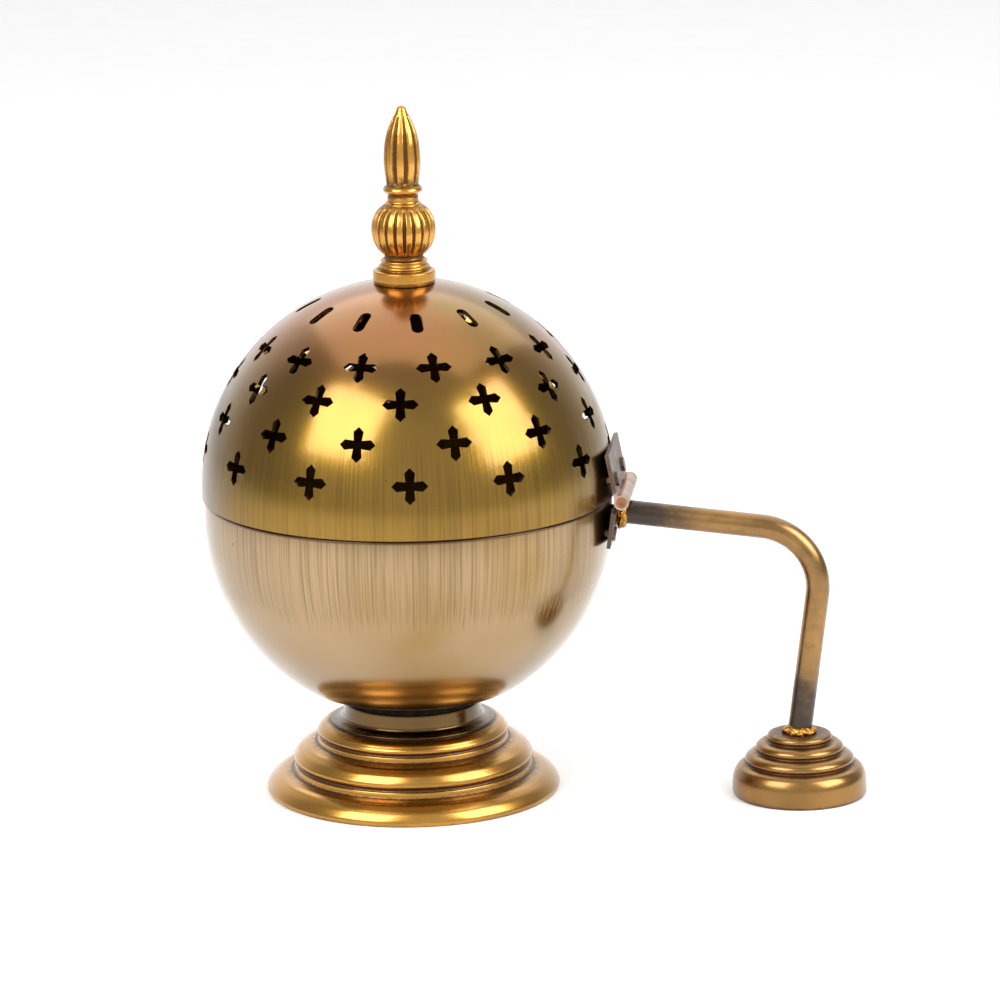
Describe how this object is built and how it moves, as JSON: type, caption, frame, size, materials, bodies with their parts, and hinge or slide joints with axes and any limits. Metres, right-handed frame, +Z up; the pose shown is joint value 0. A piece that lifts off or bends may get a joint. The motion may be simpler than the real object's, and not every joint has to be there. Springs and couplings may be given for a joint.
{
  "type": "hand censer",
  "caption": "Footed round brass incense burner: pierced dome lid hinged to a bowl on a stepped foot, fluted finial, bent rod handle standing on its own small foot.",
  "frame": {"origin": "centre of the main foot's underside, on the surface it stands on", "axes": "+Z up along the bowl, foot and finial; +X from the bowl towards the handle; the hinge pin lies along Y"},
  "size_m": [0.1676, 0.104, 0.1767],
  "materials": {
    "spun_brass": "antique lacquered brass, fine brushed",
    "inner_brass": "unpolished spun brass",
    "sheet_brass": "cut sheet brass, satin",
    "pin_brass": "dull brass",
    "polished_brass": "polished antique brass",
    "cast_brass": "cast brass with dark antiqued grooves",
    "oxidised_brass": "drawn brass rod, patchy dark oxide",
    "braze": "lumpy brazing metal",
    "black_spacer": "black heat-resistant fibre",
    "steel": "plain zinc-plated steel"
  },
  "bodies": {
    "root": {"bowl": "spun_brass", "bowl_lip_ring": "inner_brass", "bowl_hinge_leaf": "sheet_brass", "bowl_leaf_rivets": "pin_brass", "foot_base": "polished_brass", "foot_neck": "polished_brass", "neck_spacer": "black_spacer", "foot_screw": "steel", "foot_screw_washer": "steel", "foot_washer": "steel", "foot_nut": "steel", "handle_rod": "oxidised_brass", "handle_tenon_washer": "pin_brass", "handle_braze": "braze", "handle_foot": "polished_brass", "handle_foot_braze": "braze"},
    "lid": {"lid_dome": "spun_brass", "lid_hinge_leaf": "sheet_brass", "lid_leaf_rivets": "pin_brass", "hinge_pin": "pin_brass", "finial_collar": "cast_brass", "finial_knop": "cast_brass", "finial_bud": "cast_brass", "finial_stud": "steel", "finial_washer": "steel", "finial_nut": "steel"},
    "ember_cup": {"ember_cup": "inner_brass"}
  },
  "joints": [
    {"name": "lid_hinge", "type": "hinge", "parent": "root", "child": "lid", "pos_m": [0.055, 0, 0.078], "axis": [0, 1, 0], "range_deg": [0, 110]},
    {"name": "ember_cup_lift", "type": "slide", "parent": "root", "child": "ember_cup", "axis": [0, 0, 1], "range_m": [0, 0.024]}
  ]
}
